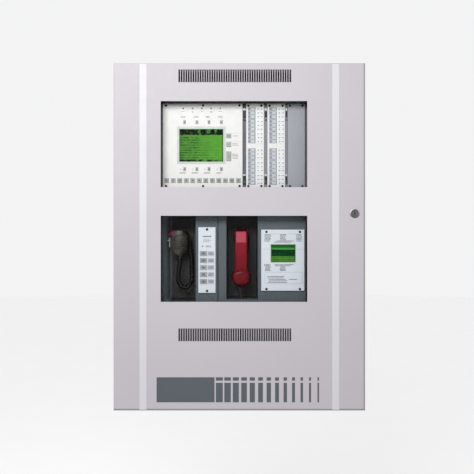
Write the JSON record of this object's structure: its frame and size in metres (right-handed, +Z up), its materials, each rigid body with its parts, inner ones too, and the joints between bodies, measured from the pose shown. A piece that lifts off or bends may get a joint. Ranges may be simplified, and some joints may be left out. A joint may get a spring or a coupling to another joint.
{
  "type": "fire alarm control panel",
  "caption": "Wall-mounted fire alarm control panel: glazed steel door, operator display, annunciators, paging microphone and red firefighter handset.",
  "frame": {"origin": "centre of the backbox's rear face, on the wall", "axes": "+Z up, +Y into the wall, +X to the right of someone facing the panel"},
  "size_m": [0.762, 0.1803, 1.052],
  "materials": {
    "door_paint": "light grey satin powder coat, lighter full-height stripes",
    "box_paint": "light grey satin powder coat",
    "dark_paint": "dark grey fine texture paint",
    "blank_paint": "mid grey satin paint",
    "white_panel": "white matt overlay with grey blank label fields",
    "key_grey": "grey moulded push buttons",
    "screen": "green liquid-crystal screen in a pale frame",
    "pane": "clear pane",
    "chrome": "polished lock bezel",
    "lock_steel": "brushed steel",
    "zinc_steel": "zinc plated steel",
    "handset_red": "red moulded plastic, satin",
    "black_plastic": "black fine-grained plastic",
    "talk_red": "dark red button",
    "cord_black": "black curly cord",
    "cord_red": "dull red cord sheath",
    "circuit_board": "green solder resist",
    "battery_case": "dark grey battery case"
  },
  "bodies": {
    "root": {"backbox": "box_paint", "hinge_leaf_box": "zinc_steel", "hinge_pin": "zinc_steel", "module_chassis": "dark_paint", "display_panel": "white_panel", "display_lcd": "screen", "annunciator_left": "white_panel", "annunciator_right": "white_panel", "blank_plate": "blank_paint", "processor_board": "circuit_board", "power_supply": "zinc_steel", "battery_left": "battery_case", "battery_right": "battery_case", "paging_fascia": "dark_paint", "phone_fascia": "dark_paint", "page_switch_panel": "white_panel", "phone_panel": "white_panel", "phone_lcd": "screen", "mic_cord": "cord_black", "handset_cord": "cord_red"},
    "door": {"outer_door": "door_paint", "window_pane_upper": "pane", "window_pane_lower": "pane", "pane_retainer": "zinc_steel", "hinge_leaf_door": "zinc_steel", "lock_barrel": "chrome"},
    "lock": {"lock_plug": "lock_steel", "lock_cam": "zinc_steel"},
    "handset": {"handset": "handset_red"},
    "hook": {"cradle_switch": "lock_steel"},
    "microphone": {"microphone": "black_plastic"},
    "talk_button": {"talk_button": "talk_red"},
    "display_key_01": {"display_key_01": "key_grey"},
    "display_key_02": {"display_key_02": "key_grey"},
    "display_key_03": {"display_key_03": "key_grey"},
    "display_key_04": {"display_key_04": "key_grey"},
    "display_key_05": {"display_key_05": "key_grey"},
    "display_key_06": {"display_key_06": "key_grey"},
    "display_key_07": {"display_key_07": "key_grey"},
    "display_key_08": {"display_key_08": "key_grey"},
    "display_key_09": {"display_key_09": "key_grey"},
    "display_key_10": {"display_key_10": "key_grey"},
    "display_key_11": {"display_key_11": "key_grey"},
    "display_key_12": {"display_key_12": "key_grey"},
    "upper_button_1": {"upper_button_1": "key_grey"},
    "upper_button_2": {"upper_button_2": "key_grey"},
    "upper_button_3": {"upper_button_3": "key_grey"},
    "upper_button_4": {"upper_button_4": "key_grey"},
    "lower_button_1": {"lower_button_1": "key_grey"},
    "lower_button_2": {"lower_button_2": "key_grey"},
    "lower_button_3": {"lower_button_3": "key_grey"},
    "lower_button_4": {"lower_button_4": "key_grey"},
    "page_up_key": {"page_up_key": "key_grey"},
    "page_down_key": {"page_down_key": "key_grey"},
    "detail_key": {"detail_key": "key_grey"},
    "page_button_1": {"page_button_1": "key_grey"},
    "page_button_2": {"page_button_2": "key_grey"},
    "page_button_3": {"page_button_3": "key_grey"},
    "page_button_4": {"page_button_4": "key_grey"},
    "page_button_5": {"page_button_5": "key_grey"}
  },
  "joints": [
    {"name": "door_hinge", "type": "hinge", "parent": "root", "child": "door", "pos_m": [-0.3775, -0.1375, 0], "axis": [0, 0, -1], "range_deg": [0, 125]},
    {"name": "lock_turn", "type": "hinge", "parent": "door", "child": "lock", "pos_m": [0.349, -0.177, 0.0713], "axis": [0, 1, 0], "range_deg": [0, 90]},
    {"name": "handset_lift", "type": "slide", "parent": "root", "child": "handset", "axis": [0, 0, 1], "range_m": [0, 0.014]},
    {"name": "hook_rise", "type": "slide", "parent": "root", "child": "hook", "axis": [0, 0, 1], "range_m": [0, 0.005]},
    {"name": "microphone_lift", "type": "slide", "parent": "root", "child": "microphone", "axis": [0, 0, 1], "range_m": [0, 0.01]},
    {"name": "talk_press", "type": "slide", "parent": "microphone", "child": "talk_button", "axis": [0.6428, 0, -0.766], "range_m": [0, 0.002], "stiffness_N_per_m": 400},
    {"name": "display_key_01_press", "type": "slide", "parent": "root", "child": "display_key_01", "axis": [0, 1, 0], "range_m": [0, 0.0015], "stiffness_N_per_m": 400},
    {"name": "display_key_02_press", "type": "slide", "parent": "root", "child": "display_key_02", "axis": [0, 1, 0], "range_m": [0, 0.0015], "stiffness_N_per_m": 400},
    {"name": "display_key_03_press", "type": "slide", "parent": "root", "child": "display_key_03", "axis": [0, 1, 0], "range_m": [0, 0.0015], "stiffness_N_per_m": 400},
    {"name": "display_key_04_press", "type": "slide", "parent": "root", "child": "display_key_04", "axis": [0, 1, 0], "range_m": [0, 0.0015], "stiffness_N_per_m": 400},
    {"name": "display_key_05_press", "type": "slide", "parent": "root", "child": "display_key_05", "axis": [0, 1, 0], "range_m": [0, 0.0015], "stiffness_N_per_m": 400},
    {"name": "display_key_06_press", "type": "slide", "parent": "root", "child": "display_key_06", "axis": [0, 1, 0], "range_m": [0, 0.0015], "stiffness_N_per_m": 400},
    {"name": "display_key_07_press", "type": "slide", "parent": "root", "child": "display_key_07", "axis": [0, 1, 0], "range_m": [0, 0.0015], "stiffness_N_per_m": 400},
    {"name": "display_key_08_press", "type": "slide", "parent": "root", "child": "display_key_08", "axis": [0, 1, 0], "range_m": [0, 0.0015], "stiffness_N_per_m": 400},
    {"name": "display_key_09_press", "type": "slide", "parent": "root", "child": "display_key_09", "axis": [0, 1, 0], "range_m": [0, 0.0015], "stiffness_N_per_m": 400},
    {"name": "display_key_10_press", "type": "slide", "parent": "root", "child": "display_key_10", "axis": [0, 1, 0], "range_m": [0, 0.0015], "stiffness_N_per_m": 400},
    {"name": "display_key_11_press", "type": "slide", "parent": "root", "child": "display_key_11", "axis": [0, 1, 0], "range_m": [0, 0.0015], "stiffness_N_per_m": 400},
    {"name": "display_key_12_press", "type": "slide", "parent": "root", "child": "display_key_12", "axis": [0, 1, 0], "range_m": [0, 0.0015], "stiffness_N_per_m": 400},
    {"name": "upper_button_1_press", "type": "slide", "parent": "root", "child": "upper_button_1", "axis": [0, 1, 0], "range_m": [0, 0.0015], "stiffness_N_per_m": 400},
    {"name": "upper_button_2_press", "type": "slide", "parent": "root", "child": "upper_button_2", "axis": [0, 1, 0], "range_m": [0, 0.0015], "stiffness_N_per_m": 400},
    {"name": "upper_button_3_press", "type": "slide", "parent": "root", "child": "upper_button_3", "axis": [0, 1, 0], "range_m": [0, 0.0015], "stiffness_N_per_m": 400},
    {"name": "upper_button_4_press", "type": "slide", "parent": "root", "child": "upper_button_4", "axis": [0, 1, 0], "range_m": [0, 0.0015], "stiffness_N_per_m": 400},
    {"name": "lower_button_1_press", "type": "slide", "parent": "root", "child": "lower_button_1", "axis": [0, 1, 0], "range_m": [0, 0.0015], "stiffness_N_per_m": 400},
    {"name": "lower_button_2_press", "type": "slide", "parent": "root", "child": "lower_button_2", "axis": [0, 1, 0], "range_m": [0, 0.0015], "stiffness_N_per_m": 400},
    {"name": "lower_button_3_press", "type": "slide", "parent": "root", "child": "lower_button_3", "axis": [0, 1, 0], "range_m": [0, 0.0015], "stiffness_N_per_m": 400},
    {"name": "lower_button_4_press", "type": "slide", "parent": "root", "child": "lower_button_4", "axis": [0, 1, 0], "range_m": [0, 0.0015], "stiffness_N_per_m": 400},
    {"name": "page_up_key_press", "type": "slide", "parent": "root", "child": "page_up_key", "axis": [0, 1, 0], "range_m": [0, 0.0015], "stiffness_N_per_m": 400},
    {"name": "page_down_key_press", "type": "slide", "parent": "root", "child": "page_down_key", "axis": [0, 1, 0], "range_m": [0, 0.0015], "stiffness_N_per_m": 400},
    {"name": "detail_key_press", "type": "slide", "parent": "root", "child": "detail_key", "axis": [0, 1, 0], "range_m": [0, 0.0015], "stiffness_N_per_m": 400},
    {"name": "page_button_1_press", "type": "slide", "parent": "root", "child": "page_button_1", "axis": [0, 1, 0], "range_m": [0, 0.0012], "stiffness_N_per_m": 400},
    {"name": "page_button_2_press", "type": "slide", "parent": "root", "child": "page_button_2", "axis": [0, 1, 0], "range_m": [0, 0.0012], "stiffness_N_per_m": 400},
    {"name": "page_button_3_press", "type": "slide", "parent": "root", "child": "page_button_3", "axis": [0, 1, 0], "range_m": [0, 0.0012], "stiffness_N_per_m": 400},
    {"name": "page_button_4_press", "type": "slide", "parent": "root", "child": "page_button_4", "axis": [0, 1, 0], "range_m": [0, 0.0012], "stiffness_N_per_m": 400},
    {"name": "page_button_5_press", "type": "slide", "parent": "root", "child": "page_button_5", "axis": [0, 1, 0], "range_m": [0, 0.0012], "stiffness_N_per_m": 400}
  ],
  "couplings": [
    {"joint": "hook_rise", "follows": "handset_lift", "ratio": 0.35}
  ]
}
